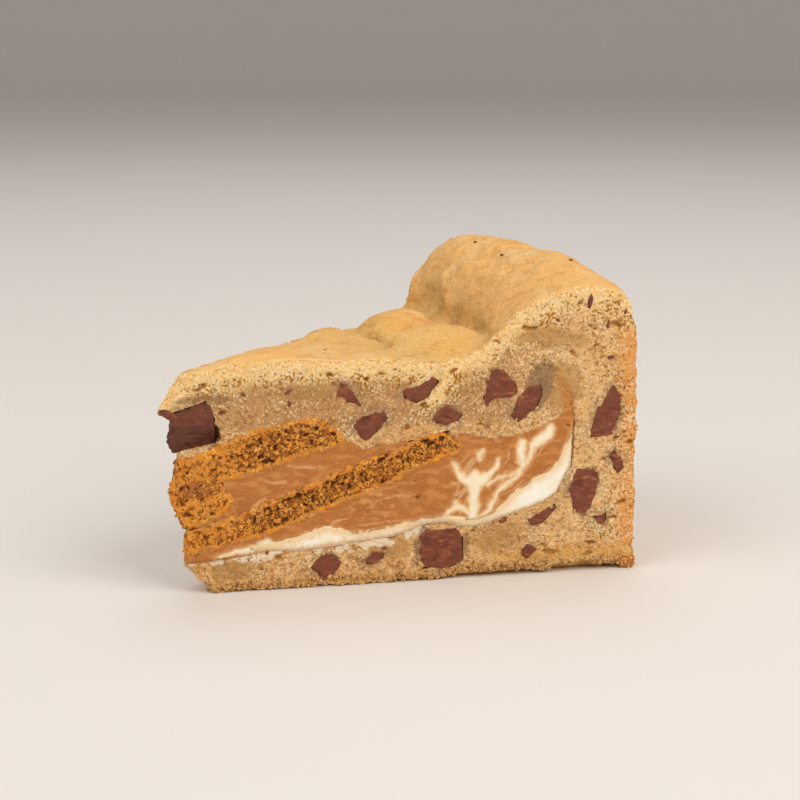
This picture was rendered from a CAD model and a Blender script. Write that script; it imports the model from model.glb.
"""Looks of a cookie pie slice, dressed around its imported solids.

Each solid of the frame is dressed as the food it is: baked cookie dough with crumb and pores on its
cut faces and a browned skin outside, biscuit spread marbled with white filling, crumbly baked
biscuits and broken milk chocolate. All shaping is done in millimetres about the pie's axis: r is
the distance from it, z the height and the turn runs from the front cut face to the back one.
"""
from __future__ import annotations

import logging
import math
import random
from dataclasses import dataclass
from enum import Enum
from typing import Any, Callable, Iterable, Sequence

import bmesh
import bpy
import numpy as np
from mathutils import Matrix, Vector, noise
from mathutils.bvhtree import BVHTree


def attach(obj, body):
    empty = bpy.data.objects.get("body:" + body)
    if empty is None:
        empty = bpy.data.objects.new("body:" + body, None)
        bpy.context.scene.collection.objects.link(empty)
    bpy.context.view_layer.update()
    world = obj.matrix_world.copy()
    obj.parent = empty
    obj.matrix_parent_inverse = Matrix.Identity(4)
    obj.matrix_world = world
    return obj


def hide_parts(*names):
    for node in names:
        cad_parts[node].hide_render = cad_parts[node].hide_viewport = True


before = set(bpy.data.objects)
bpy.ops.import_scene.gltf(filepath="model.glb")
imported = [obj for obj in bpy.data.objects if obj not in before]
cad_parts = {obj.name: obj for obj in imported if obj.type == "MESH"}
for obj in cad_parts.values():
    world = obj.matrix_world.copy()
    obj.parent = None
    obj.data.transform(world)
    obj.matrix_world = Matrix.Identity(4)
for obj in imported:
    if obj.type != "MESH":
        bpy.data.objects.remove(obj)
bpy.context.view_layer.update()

log = logging.getLogger("cookie_pie")

Shaped = tuple[np.ndarray, dict[str, np.ndarray]]

BODY = "root"
MM = 0.001
# Where the pie's axis stands in the frame, how far the slice turns about it and how wide the pie is
PIE_AXIS = Vector((-50.85, -35.8, 0.0))
SLICE_TURN = math.radians(45.0)
TIN_RADIUS = 101.0
# A distance in the slice that counts as far away
FAR = 99.0
# Faces that meet at more than this show an edge between them
EDGE_ANGLE = math.radians(55.0)
# Turn of every noise about x, y and z, so that no cut lies along its grid
NOISE_ANGLES = (0.7, 0.9, 0.5)
NOISE_TURN = np.array(
    Matrix.Rotation(NOISE_ANGLES[0], 3, "X") @ Matrix.Rotation(NOISE_ANGLES[1], 3, "Y")
    @ Matrix.Rotation(NOISE_ANGLES[2], 3, "Z"))


def to_linear(colour: str) -> tuple[float, float, float, float]:
    """Turns an sRGB hex colour into the linear RGBA that shaders take.

    Args:
        colour: Six hex digits with a leading hash.

    Returns:
        Red, green and blue from 0 to 1, and an alpha of 1.
    """
    channels = [int(colour[i:i + 2], 16) / 255 for i in (1, 3, 5)]
    linear = [c / 12.92 if c <= 0.04045 else ((c + 0.055) / 1.055) ** 2.4 for c in channels]
    return (*linear, 1.0)


def ramp(values: np.ndarray, low: float, high: float) -> np.ndarray:
    """Smooth steps from 0 at low to 1 at high; low may be the larger of the two."""
    t = np.clip((values - low) / (high - low), 0.0, 1.0)
    return t * t * (3 - 2 * t)


def noise_at(points: np.ndarray, size: float, seed: float, stretch: Sequence[float] = (1, 1, 1)) -> np.ndarray:
    """Smooth noise from about -1 to 1.

    Args:
        points: Places in millimetres, one a row.
        size: Width of its bumps in millimetres.
        seed: Where in the noise it is read.
        stretch: How many times longer the bumps are along each axis.

    Returns:
        One value for each point.
    """
    scaled = points / (np.array(stretch) * size) @ NOISE_TURN + seed
    return np.array(list(map(noise.noise, scaled.tolist())))


def clods_at(points: np.ndarray, size: float, seed: float) -> tuple[np.ndarray, np.ndarray]:
    """How near each point is to a clod's middle and to the crack round it, as shares of its size.

    Args:
        points: Places in millimetres.
        size: Width of a clod in millimetres.
        seed: Where in the pattern it is read.

    Returns:
        Distance of each point from its clod's middle, and from the crack.
    """
    places = (points / size @ NOISE_TURN + seed).tolist()
    found = np.array([noise.voronoi(place)[0] for place in places])
    return found[:, 0], found[:, 1] - found[:, 0]


def add_node(tree: bpy.types.NodeTree, kind: str, inputs: dict[str, Any], output: str = "",
             **settings: Any) -> bpy.types.NodeSocket:
    """Adds a shader node with its settings and links.

    Args:
        tree: The material's node tree.
        kind: The node's type.
        inputs: A value or another node's socket for each input, by the input's identifier.
        output: Identifier of the output to return; the first one if empty.
        settings: The node's own properties.

    Returns:
        The output socket that the next node reads.
    """
    node = tree.nodes.new(kind)
    for name, value in settings.items():
        setattr(node, name, value)
    for name, value in inputs.items():
        socket = next(s for s in node.inputs if s.identifier == name)
        if isinstance(value, bpy.types.NodeSocket):
            tree.links.new(value, socket)
        else:
            socket.default_value = value
    return next(s for s in node.outputs if s.identifier == output) if output else node.outputs[0]


@dataclass(frozen=True)
class Pattern:
    """Where something shows: by a mesh attribute, by a noise, or by an attribute that a noise shifts.

    Attributes:
        source: Name of the mesh attribute; empty for a noise alone.
        size: Width of the noise's patches in millimetres.
        low: Value where it starts to show.
        high: Value where it shows in full; it may be the smaller one.
        wobble: How far the noise shifts the attribute.
        stretch: How many times longer the noise's patches are along each axis.
        cells: Whether the noise is made of round cells, 0 in their middles, and not of clouds.
    """
    source: str = ""
    size: float = 1.0
    low: float = 0.0
    high: float = 1.0
    wobble: float = 0.0
    stretch: tuple[float, float, float] = (1.0, 1.0, 1.0)
    cells: bool = False

    def share(self, tree: bpy.types.NodeTree, place: bpy.types.NodeSocket) -> bpy.types.NodeSocket:
        """How much it shows at each place.

        Args:
            tree: The material's node tree.
            place: Socket of the Object coordinates.

        Returns:
            Socket of the share, from 0 to 1.
        """
        if self.source:
            value = add_node(tree, "ShaderNodeAttribute", {}, "Fac", attribute_name=self.source)
        else:
            value = self._noise(tree, place)
        if self.source and self.wobble:
            centred = add_node(
                tree, "ShaderNodeMath", {"Value": self._noise(tree, place), "Value_001": 0.5}, operation="SUBTRACT")
            value = add_node(
                tree, "ShaderNodeMath", {"Value": centred, "Value_001": 2 * self.wobble, "Value_002": value},
                operation="MULTIPLY_ADD")
        return add_node(
            tree, "ShaderNodeMapRange", {"Value": value, "From Min": self.low, "From Max": self.high},
            interpolation_type="SMOOTHSTEP")

    def _noise(self, tree: bpy.types.NodeTree, place: bpy.types.NodeSocket) -> bpy.types.NodeSocket:
        """The noise alone.

        Args:
            tree: The material's node tree.
            place: Socket of the Object coordinates.

        Returns:
            Socket of the noise's value.
        """
        shrink = [1 / (self.size * MM * along) for along in self.stretch]
        scaled = add_node(tree, "ShaderNodeMapping", {"Vector": place, "Scale": shrink, "Rotation": NOISE_ANGLES})
        if self.cells:
            return add_node(tree, "ShaderNodeTexVoronoi", {"Vector": scaled, "Scale": 1.0}, "Distance")
        return add_node(tree, "ShaderNodeTexNoise", {"Vector": scaled, "Scale": 1.0, "Detail": 2.0}, "Fac")


@dataclass(frozen=True)
class Tint(Pattern):
    """A colour, sRGB hex, laid over the earlier ones where its pattern shows, as strongly as its strength."""
    colour: str = "#ffffff"
    strength: float = 1.0


@dataclass(frozen=True)
class Grit(Pattern):
    """Relief that is too small for the mesh, as high as its height in millimetres where its pattern shows."""
    height: float = 0.1


# Where each surface is at its roughest
DULL_PATCHES = Pattern(size=3.0, low=0.35, high=0.65)


@dataclass(frozen=True)
class Finish:
    """The surface of one food.

    Attributes:
        name: What the food is and how its surface was made.
        colour: Base colour, sRGB hex.
        tints: Colours over it, from the lowest to the top one.
        grits: Relief finer than the mesh.
        roughness: Least and most roughness; the most lies in the dull patches.
        ior: Index of refraction.
        softness: Share of the light that goes in and comes out again.
        depth: How far that light goes, red, green and blue, in millimetres.
    """
    name: str
    colour: str
    tints: tuple[Tint, ...] = ()
    grits: tuple[Grit, ...] = ()
    roughness: tuple[float, float] = (0.7, 0.9)
    ior: float = 1.45
    softness: float = 0.0
    depth: tuple[float, float, float] = (1.2, 0.6, 0.25)

    def material(self) -> bpy.types.Material:
        """Makes the material, or finds it if it's there already.

        Returns:
            The material with its nodes.
        """
        if self.name in bpy.data.materials:
            return bpy.data.materials[self.name]
        material = bpy.data.materials.new(self.name)
        material.use_nodes = True
        tree = material.node_tree
        shader = tree.nodes["Principled BSDF"]
        colour: Any = to_linear(self.colour)
        shader.inputs["Base Color"].default_value = colour
        shader.inputs["IOR"].default_value = self.ior
        shader.inputs["Subsurface Weight"].default_value = self.softness
        shader.inputs["Subsurface Radius"].default_value = self.depth
        shader.inputs["Subsurface Scale"].default_value = MM
        place = add_node(tree, "ShaderNodeTexCoord", {}, "Object")
        for tint in self.tints:
            share = add_node(
                tree, "ShaderNodeMath", {"Value": tint.share(tree, place), "Value_001": tint.strength},
                operation="MULTIPLY")
            colour = add_node(
                tree, "ShaderNodeMix", {"Factor_Float": share, "A_Color": colour, "B_Color": to_linear(tint.colour)},
                "Result_Color", data_type="RGBA")
        if self.tints:
            tree.links.new(colour, shader.inputs["Base Color"])
        rough = add_node(tree, "ShaderNodeMapRange", {
            "Value": DULL_PATCHES.share(tree, place), "To Min": self.roughness[0], "To Max": self.roughness[1]})
        tree.links.new(rough, shader.inputs["Roughness"])
        normal = None
        for grit in self.grits:
            inputs = {"Height": grit.share(tree, place), "Distance": abs(grit.height) * MM}
            if normal:
                inputs["Normal"] = normal
            normal = add_node(tree, "ShaderNodeBump", inputs, invert=grit.height < 0)
        if normal:
            tree.links.new(normal, shader.inputs["Normal"])
        return material


# Baked cookie dough: a matt, open crumb of flour and sugar, pale inside and browned outside
BAKED_DOUGH = Finish(
    name="baked cookie dough, matt crumb and browned skin",
    colour="#e2ae6d",
    tints=(
        Tint(colour="#c08d4c", size=6.0, low=0.48, high=0.64, strength=0.5),
        Tint(colour="#efc88e", size=3.0, low=0.52, high=0.68, strength=0.5),
        Tint(colour="#b5875a", source="lid", size=3.0, low=0.1, high=0.9, strength=0.6, wobble=0.5),
        Tint(colour="#f2c78a", source="wall_depth", size=5.0, low=26.0, high=13.0, strength=0.5, wobble=9.0),
        Tint(colour="#e6b066", source="base_depth", size=2.0, low=2.4, high=0.3, strength=0.8, wobble=1.6),
        Tint(colour="#99662c", size=0.9, low=0.52, high=0.68, strength=0.75),
        Tint(colour="#ec9f4c", source="wall_depth", size=3.0, low=7.0, high=0.6, strength=0.85, wobble=2.4),
        Tint(colour="#e89f52", source="golden", size=2.0, low=0.1, high=0.9, strength=0.7, wobble=0.4),
        Tint(colour="#ffd791", source="top_depth", size=2.4, low=6.6, high=1.6, strength=0.95, wobble=2.2),
        Tint(colour="#e8a848", source="top_depth", size=0.5, low=1.2, high=0.0, strength=0.5, wobble=5.0),
        Tint(colour="#b58a4c", source="moist", size=1.5, low=0.0, high=1.0, strength=0.6, wobble=0.4),
        Tint(colour="#a98660", source="stain", size=2.0, low=0.1, high=1.0, strength=0.6, wobble=0.5),
        Tint(colour="#fde4b6", source="grain", size=0.5, low=0.72, high=1.2, strength=0.65, wobble=2.2),
        Tint(colour="#f6e5ca", source="milk", size=0.8, low=0.3, high=0.8, strength=0.85, wobble=0.5),
        Tint(colour="#8d6b4a", source="cocoa", size=0.9, low=0.1, high=1.1, strength=0.8, wobble=0.4),
        Tint(colour="#c67f3c", source="caramel", size=1.2, low=0.1, high=1.0, strength=0.75, wobble=0.6),
        Tint(colour="#ce902c", source="airy", size=0.6, low=1.08, high=1.22, strength=0.9, wobble=1.8),
        Tint(colour="#a2681a", source="airy", size=0.6, low=1.28, high=1.45, strength=0.85, wobble=1.8),
        Tint(colour="#ba7c26", source="pit", size=0.6, low=0.15, high=0.8, strength=0.85, wobble=0.2),
        Tint(colour="#eab56b", source="crust", size=0.7, low=0.3, high=0.7, wobble=1.0),
        Tint(colour="#e7c081", source="skin_pale", size=2.0, low=0.2, high=1.0, strength=0.85, wobble=0.3),
        Tint(colour="#e09f50", source="toast", size=2.5, low=0.15, high=1.0, strength=0.85, wobble=0.4),
        Tint(colour="#dbab5b", source="golden", size=3.0, low=0.1, high=1.0, strength=0.7, wobble=0.5),
        Tint(colour="#d3af68", source="hollow", size=1.5, low=0.1, high=0.9, strength=0.75, wobble=0.3),
        Tint(colour="#a98342", source="hollow", size=1.0, low=0.7, high=1.05, strength=0.6, wobble=0.4),
        Tint(colour="#d09347", source="crust", size=2.2, low=1.02, high=1.30, strength=0.5, wobble=1.0,
             stretch=(1.8, 1.2, 1.0)),
        Tint(colour="#f6d79f", source="crust", size=0.45, low=1.05, high=1.35, strength=0.4, wobble=1.0),
        Tint(colour="#bb8340", source="crust", size=0.5, low=1.22, high=1.40, strength=0.6, wobble=1.0),
    ),
    grits=(
        Grit(source="crust", size=0.9, low=-0.4, high=0.4, wobble=1.0, height=0.24),
        Grit(source="crust", size=0.4, low=-0.3, high=0.3, wobble=1.0, height=0.11),
        Grit(source="crust", size=1.5, low=0.65, high=1.35, wobble=1.0, height=0.2),
        Grit(source="crust", size=0.45, low=0.7, high=1.3, wobble=1.0, height=0.07),
        Grit(source="airy", size=0.6, low=1.08, high=1.26, wobble=1.8, height=-0.16),
    ),
    roughness=(0.75, 0.95),
    softness=0.12,
)

# Caramelised biscuit spread: smooth fat and fine biscuit, cut by a knife, so satin with faint smears
BISCUIT_SPREAD = Finish(
    name="biscuit spread, smooth cut",
    colour="#b87234",
    tints=(
        Tint(colour="#a9662a", size=4.0, low=0.46, high=0.66, strength=0.5, stretch=(1.3, 1.0, 0.8)),
        Tint(colour="#d08f4e", size=2.0, low=0.48, high=0.66, strength=0.7, stretch=(1.7, 1.0, 0.6)),
        Tint(colour="#d99f5c", size=0.5, low=0.56, high=0.70, strength=0.35),
        Tint(colour="#e0b27e", source="smear", size=0.8, low=0.2, high=1.2, strength=0.7, wobble=0.5),
        Tint(colour="#daa264", source="lump", size=0.6, low=0.2, high=1.0, strength=0.5, wobble=0.6),
        Tint(colour="#d9a468", source="white_reach", size=1.0, low=1.1, high=0.1, strength=0.6, wobble=0.6),
        Tint(colour="#efd1a3", source="white_reach", size=0.9, low=0.5, high=-0.15, strength=0.85, wobble=0.4),
        Tint(colour="#f9ebce", source="white_reach", size=1.2, low=0.05, high=-0.65, wobble=0.4),
        Tint(colour="#7a4317", source="pit", low=0.2, high=0.9, strength=0.8),
    ),
    grits=(Grit(size=1.4, low=0.3, high=0.7, height=0.07), Grit(size=0.4, low=0.3, high=0.7, height=0.03)),
    roughness=(0.5, 0.66),
    ior=1.4,
    softness=0.2,
    depth=(1.6, 0.8, 0.3),
)

# White filling: cream-like fat with milk powder, smooth and slightly translucent
WHITE_FILLING = Finish(
    name="white filling, smooth cut",
    colour="#fbf0da",
    tints=(
        Tint(colour="#fffaf0", size=5.0, low=0.45, high=0.62, strength=0.7),
        Tint(colour="#f4d09a", source="rim", size=1.6, low=2.2, high=0.3, strength=0.85, wobble=0.9),
        Tint(colour="#dcb88c", source="dough_near", size=0.9, low=1.9, high=0.3, strength=0.85, wobble=0.8),
        Tint(colour="#e3bb88", source="crumbs", size=0.7, low=0.3, high=0.9, strength=0.6, wobble=0.2),
    ),
    grits=(Grit(size=0.8, low=0.3, high=0.7, height=0.02),),
    roughness=(0.42, 0.6),
    ior=1.46,
    softness=0.35,
    depth=(2.0, 1.6, 1.1),
)

# Caramelised biscuit: dry, brittle and full of holes, dark amber with pale sugary grains
CARAMEL_BISCUIT = Finish(
    name="caramelised biscuit, broken crumb",
    colour="#e4902a",
    tints=(
        Tint(colour="#da9440", size=3.0, low=0.48, high=0.66, strength=0.6),
        Tint(colour="#bd7122", size=1.2, low=0.50, high=0.66, strength=0.6),
        Tint(colour="#ca8843", source="soaked", size=1.5, low=0.1, high=0.9, strength=0.8, wobble=0.35),
        Tint(colour="#a8602a", source="wet", size=1.2, low=0.1, high=0.9, strength=0.8, wobble=0.4),
        Tint(colour="#f9b959", source="grain", size=0.6, low=0.8, high=1.05, strength=0.85, wobble=1.8),
        Tint(colour="#955113", source="dry", size=1.0, low=0.97, high=1.17, strength=0.75, wobble=0.9, cells=True),
        Tint(colour="#6b380b", source="dry", size=0.5, low=1.12, high=1.32, strength=0.9, wobble=1.9),
        Tint(colour="#5f320a", source="pit", size=0.5, low=0.35, high=1.0, strength=0.9, wobble=0.5),
    ),
    grits=(
        Grit(size=0.55, low=0.6, high=0.1, height=0.12, cells=True),
        Grit(size=0.35, low=0.3, high=0.7, height=0.07),
        Grit(source="dry", size=0.6, low=1.10, high=1.32, wobble=1.9, height=-0.35),
    ),
    roughness=(0.78, 0.95),
    softness=0.06,
)

# Milk chocolate: broken and cut faces with a satin gloss, scraped paler where the knife went
MILK_CHOCOLATE = Finish(
    name="milk chocolate, broken and cut",
    colour="#783b22",
    tints=(
        Tint(colour="#5c2a19", size=2.2, low=0.50, high=0.66, strength=0.7),
        Tint(colour="#9a5632", size=1.1, low=0.50, high=0.68, strength=0.6, stretch=(1.8, 1.0, 0.7)),
        Tint(colour="#4f281c", source="shade", size=1.2, low=0.2, high=0.9, strength=0.75, wobble=0.2),
        Tint(colour="#b26a42", source="scrape", size=0.6, low=0.4, high=1.0, strength=0.7, wobble=0.4),
    ),
    grits=(
        Grit(size=0.9, low=0.3, high=0.7, height=0.07),
        Grit(size=0.4, low=0.35, high=0.65, height=0.03, stretch=(2.5, 1.0, 1.0)),
    ),
    roughness=(0.42, 0.62),
    ior=1.47,
    softness=0.05,
)

# Studio floor: matt pale paper
PALE_PAPER = Finish(name="matt pale paper", colour="#e4e0db", roughness=(0.88, 0.92))


class Side(Enum):
    """Which side of the slice a face belongs to."""
    FRONT = 0
    BACK = 1
    TOP = 2
    WALL = 3
    BASE = 4
    INSIDE = 5


CUT_NORMALS = {
    Side.FRONT: np.array((0.0, -1.0, 0.0)),
    Side.BACK: np.array((-math.sin(SLICE_TURN), math.cos(SLICE_TURN), 0.0)),
}


def outward(place: Vector) -> Vector:
    """Unit vector from the pie's axis towards a place."""
    return Vector((place.x, place.y, 0)).normalized()


@dataclass(frozen=True)
class Wedge:
    """The slice's own space, in millimetres about the pie's axis.

    Attributes:
        inset: How far the dressed cut faces lie inside those of the solids.
        on_cut: How near to a cut face all of its own faces lie.
        foot_to: Height below which a downward face is the pie's base.
        wall_depth: How far inside the tin's radius an outward face may lie and still be the wall.
        lid_from: Height above which an upward face is the pie's top.
    """
    inset: float = 0.03
    on_cut: float = 0.01
    foot_to: float = 0.5
    wall_depth: float = 5.0
    lid_from: float = 41.0

    def solid(self, *nodes: str) -> bmesh.types.BMesh:
        """A merged copy of some CAD nodes' meshes, moved to this space.

        Args:
            nodes: The CAD nodes' names.

        Returns:
            All of them in one bmesh.
        """
        bm = bmesh.new()
        for node in nodes:
            bm.from_mesh(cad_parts[node].data)
        bmesh.ops.remove_doubles(bm, verts=bm.verts, dist=1e-6)
        bmesh.ops.scale(bm, verts=bm.verts, vec=(1 / MM, 1 / MM, 1 / MM))
        bmesh.ops.translate(bm, verts=bm.verts, vec=-PIE_AXIS)
        return bm

    def point(self, r: float, share: float, z: float) -> Vector:
        """A place between the cut faces.

        Args:
            r: Distance from the pie's axis.
            share: Share of the turn from the front cut face to the back one.
            z: Height.

        Returns:
            The place, on a dressed cut face where the share is 0 or 1.
        """
        turn = SLICE_TURN * share
        inward = self.inset * (1 - 2 * share)
        sine, cosine = math.sin(turn), math.cos(turn)
        return Vector((r * cosine - inward * sine, r * sine + inward * cosine, z))

    def depths(self, x: Any, y: Any) -> tuple[Any, Any]:
        """How far a place, or each of an array of them, lies behind the front cut face and before the back one."""
        return y - self.inset, x * math.sin(SLICE_TURN) - y * math.cos(SLICE_TURN) - self.inset

    def block(self, low: Vector, high: Vector, step: float, slices: int) -> bmesh.types.BMesh:
        """A closed wedge with a square grid on both cut faces.

        Args:
            low: Least r and z of the wedge, as x and z.
            high: Largest r and z.
            step: Spacing of the grid.
            slices: How many pieces each line from face to face is divided into.

        Returns:
            The wedge as a bmesh.
        """
        bm = bmesh.new()
        columns = max(2, round((high.x - low.x) / step))
        rows = max(2, round((high.z - low.z) / step))
        bmesh.ops.create_grid(bm, x_segments=columns, y_segments=rows, size=0.5)
        bmesh.ops.translate(bm, verts=bm.verts, vec=(0.5, 0.5, 0))
        drawn = bmesh.ops.extrude_face_region(bm, geom=bm.faces[:])["geom"]
        moved = [element for element in drawn if isinstance(element, bmesh.types.BMVert)]
        bmesh.ops.translate(bm, verts=moved, vec=(0, 0, 1))
        if slices > 1:
            across = [edge for edge in bm.edges if abs(edge.verts[0].co.z - edge.verts[1].co.z) > 0.5]
            bmesh.ops.subdivide_edges(bm, edges=across, cuts=slices - 1, use_grid_fill=True)
        for vert in bm.verts:
            r = low.x + (high.x - low.x) * vert.co.x
            vert.co = self.point(r, vert.co.z, low.z + (high.z - low.z) * vert.co.y)
        bmesh.ops.recalc_face_normals(bm, faces=bm.faces)
        return bm

    def side_of(self, centre: Vector, normal: Vector) -> Side:
        """The side of the slice that a face of the dough belongs to.

        Args:
            centre: The face's middle.
            normal: Its unit normal.

        Returns:
            The side, which is the inside for the walls of the hollow and the pockets.
        """
        front, back = self.depths(centre.x, centre.y)
        if abs(front) < self.on_cut and normal.y < -0.99:
            return Side.FRONT
        if abs(back) < self.on_cut and abs(normal.z) < 0.02:
            return Side.BACK
        if centre.z < self.foot_to and normal.z < -0.9:
            return Side.BASE
        reach = Vector(centre.xy).length
        if reach > TIN_RADIUS - self.wall_depth and normal.dot(outward(centre)) > 0.45 and normal.z < 0.6:
            return Side.WALL
        if centre.z > self.lid_from and normal.z > 0.12:
            return Side.TOP
        return Side.INSIDE


WEDGE = Wedge()


def mesh_of(bm: bmesh.types.BMesh, name: str) -> bpy.types.Mesh:
    """A new mesh with what a bmesh holds.

    Args:
        bm: The bmesh; it is freed.
        name: The mesh's name.

    Returns:
        The mesh.
    """
    mesh = bpy.data.meshes.new(name)
    bm.to_mesh(mesh)
    bm.free()
    return mesh


def linked(name: str, data: bpy.types.ID) -> bpy.types.Object:
    """Puts a mesh, light or camera into the scene.

    Args:
        name: The object's name.
        data: What it holds.

    Returns:
        The new object.
    """
    obj = bpy.data.objects.new(name, data)
    bpy.context.scene.collection.objects.link(obj)
    return obj


def evaluated(bm: bmesh.types.BMesh, kind: str, **settings: Any) -> bpy.types.Mesh:
    """The mesh that a bmesh becomes under a modifier.

    Args:
        bm: The start; it is freed.
        kind: The modifier's type.
        settings: The modifier's own properties.

    Returns:
        The finished mesh, with no object left behind.
    """
    obj = linked("start", mesh_of(bm, "start"))
    modifier = obj.modifiers.new(kind, kind)
    for name, value in settings.items():
        setattr(modifier, name, value)
    graph = bpy.context.evaluated_depsgraph_get()
    mesh = bpy.data.meshes.new_from_object(obj.evaluated_get(graph))
    # A mesh that is removed takes its object with it
    bpy.data.meshes.remove(obj.data)
    return mesh


def gridded(bm: bmesh.types.BMesh, step: float, slices: int, margin: float = 0.7) -> bpy.types.Mesh:
    """Gives a solid a square grid on its two cut faces, which end up the wedge's inset further in.

    Args:
        bm: The solid; it is freed.
        step: Spacing of the grid.
        slices: Divisions from face to face; with more than one, the base takes up the grid as well.
        margin: How far the grid reaches past the solid.

    Returns:
        What of the solid lies inside the grid's block.
    """
    co = np.array([vert.co for vert in bm.verts])
    reach = np.hypot(co[:, 0], co[:, 1])
    # The block ends just before the axis, past which its two cut faces would cross
    low = Vector((max(reach.min() - margin, 0.15), 0, co[:, 2].min() - margin))
    if slices > 1:
        low.z = co[:, 2].min() + WEDGE.inset
    high = Vector((reach.max() + margin, 0, co[:, 2].max() + margin))
    block = linked("block", mesh_of(WEDGE.block(low, high, step, slices), "block"))
    mesh = evaluated(bm, "BOOLEAN", operation="INTERSECT", solver="EXACT", object=block)
    bpy.data.meshes.remove(block.data)
    return mesh


def renumbered(mesh: bpy.types.Mesh) -> bpy.types.Mesh:
    """Numbers a mesh's vertices and faces by their places, so that they are in the same order in each run.

    Args:
        mesh: The mesh; it is removed.

    Returns:
        The same surface.
    """
    places = np.array([vert.co for vert in mesh.vertices])
    order = np.lexsort(places.T)
    number = np.empty(len(order), int)
    number[order] = np.arange(len(order))
    faces = []
    for face in mesh.polygons:
        corners = number[list(face.vertices)].tolist()
        first = corners.index(min(corners))
        faces.append(corners[first:] + corners[:first])
    result = bpy.data.meshes.new("renumbered")
    result.from_pydata(places[order].tolist(), [], sorted(faces))
    bpy.data.meshes.remove(mesh)
    return result


@dataclass
class Skin:
    """What the shaping of a mesh needs to know of it, one row for each vertex.

    Attributes:
        points: Places in millimetres.
        normals: Unit normals.
        sides: For each side, which vertices touch a face of it.
        trees: For each side that has faces, a search tree of them.
    """
    points: np.ndarray
    normals: np.ndarray
    sides: dict[Side, np.ndarray]
    trees: dict[Side, BVHTree]

    @classmethod
    def of(cls, mesh: bpy.types.Mesh, keep: Iterable[Side] = ()) -> "Skin":
        """Reads a mesh.

        Args:
            mesh: The mesh to read.
            keep: Sides that get a search tree.

        Returns:
            What its shaping needs to know.
        """
        count = len(mesh.vertices)
        points = np.empty(count * 3, np.float32)
        mesh.vertices.foreach_get("co", points)
        normals = np.empty(count * 3, np.float32)
        mesh.vertices.foreach_get("normal", normals)
        sides = {side: np.zeros(count, bool) for side in Side}
        faces: dict[Side, list[tuple[int, ...]]] = {side: [] for side in Side}
        for face in mesh.polygons:
            corners = tuple(face.vertices)
            side = WEDGE.side_of(face.center, face.normal)
            faces[side].append(corners)
            sides[side][list(corners)] = True
        places = points.reshape(-1, 3).astype(float)
        listed = [tuple(place) for place in places.tolist()]
        trees = {side: BVHTree.FromPolygons(listed, faces[side]) for side in keep if faces[side]}
        return cls(places, normals.reshape(-1, 3).astype(float), sides, trees)

    @property
    def r(self) -> np.ndarray:
        """Distance of each vertex from the pie's axis."""
        return np.hypot(self.points[:, 0], self.points[:, 1])

    @property
    def z(self) -> np.ndarray:
        """Height of each vertex."""
        return self.points[:, 2]

    @property
    def turn(self) -> np.ndarray:
        """Share of the way from the front cut face to the back one."""
        return np.arctan2(self.points[:, 1], self.points[:, 0]) / SLICE_TURN

    @property
    def cut(self) -> np.ndarray:
        """Which vertices lie on a cut face."""
        return self.sides[Side.FRONT] | self.sides[Side.BACK]

    @property
    def at_tip(self) -> np.ndarray:
        """How far each vertex belongs to a broken end at the tip, from 0 to 1."""
        inward = -np.sum(self.points[:, :2] * self.normals[:, :2], axis=1) / self.r
        return np.where(self.cut, 0.0, ramp(inward, 0.3, 0.6) * ramp(self.r, 22.0, 18.0))

    def distance(self, tree: BVHTree | None, far: float) -> np.ndarray:
        """Distance of each vertex to what a search tree holds.

        Args:
            tree: What is searched, or nothing.
            far: Distance where there's nothing nearer.

        Returns:
            One distance for each vertex.
        """
        if tree is None:
            return np.full(len(self.points), far)
        found = (tree.find_nearest(place, far)[3] for place in map(Vector, self.points.tolist()))
        return np.array([far if reach is None else reach for reach in found])

    def to_side(self, side: Side, far: float) -> np.ndarray:
        """Distance of each vertex to a side."""
        return self.distance(self.trees.get(side), far)


def drawn_out(mesh: bpy.types.Mesh, distance: float, spill: float, wanted: Callable[[Side], bool]) -> None:
    """Moves the walls of a solid outwards, and its cut faces' edges along with them.

    Args:
        mesh: The solid; it is changed.
        distance: How far, in millimetres.
        spill: How much further the edges of the cut faces go in places.
        wanted: Says of a side whether its faces are moved.
    """
    bm = bmesh.new()
    bm.from_mesh(mesh)
    bm.normal_update()
    sides = {face: WEDGE.side_of(face.calc_center_median(), face.normal) for face in bm.faces}
    moves = {}
    for vert in bm.verts:
        near = [(face, sides[face]) for face in vert.link_faces]
        moved = [face for face, side in near if wanted(side)]
        if not moved:
            continue
        reach = distance
        move = sum((face.normal * face.calc_area() for face in moved), Vector())
        for side, normal in CUT_NORMALS.items():
            if any(other is side for _, other in near):
                across = Vector(normal)
                move -= across * move.dot(across)
                smear = noise.noise(vert.co * 0.9) + 0.7 * noise.noise(vert.co * 2.1)
                reach = distance + spill * max(smear, -0.15)
        if move.length > 1e-9:
            moves[vert] = move.normalized() * reach
    for vert, move in moves.items():
        vert.co += move
    bm.to_mesh(mesh)
    bm.free()


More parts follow.
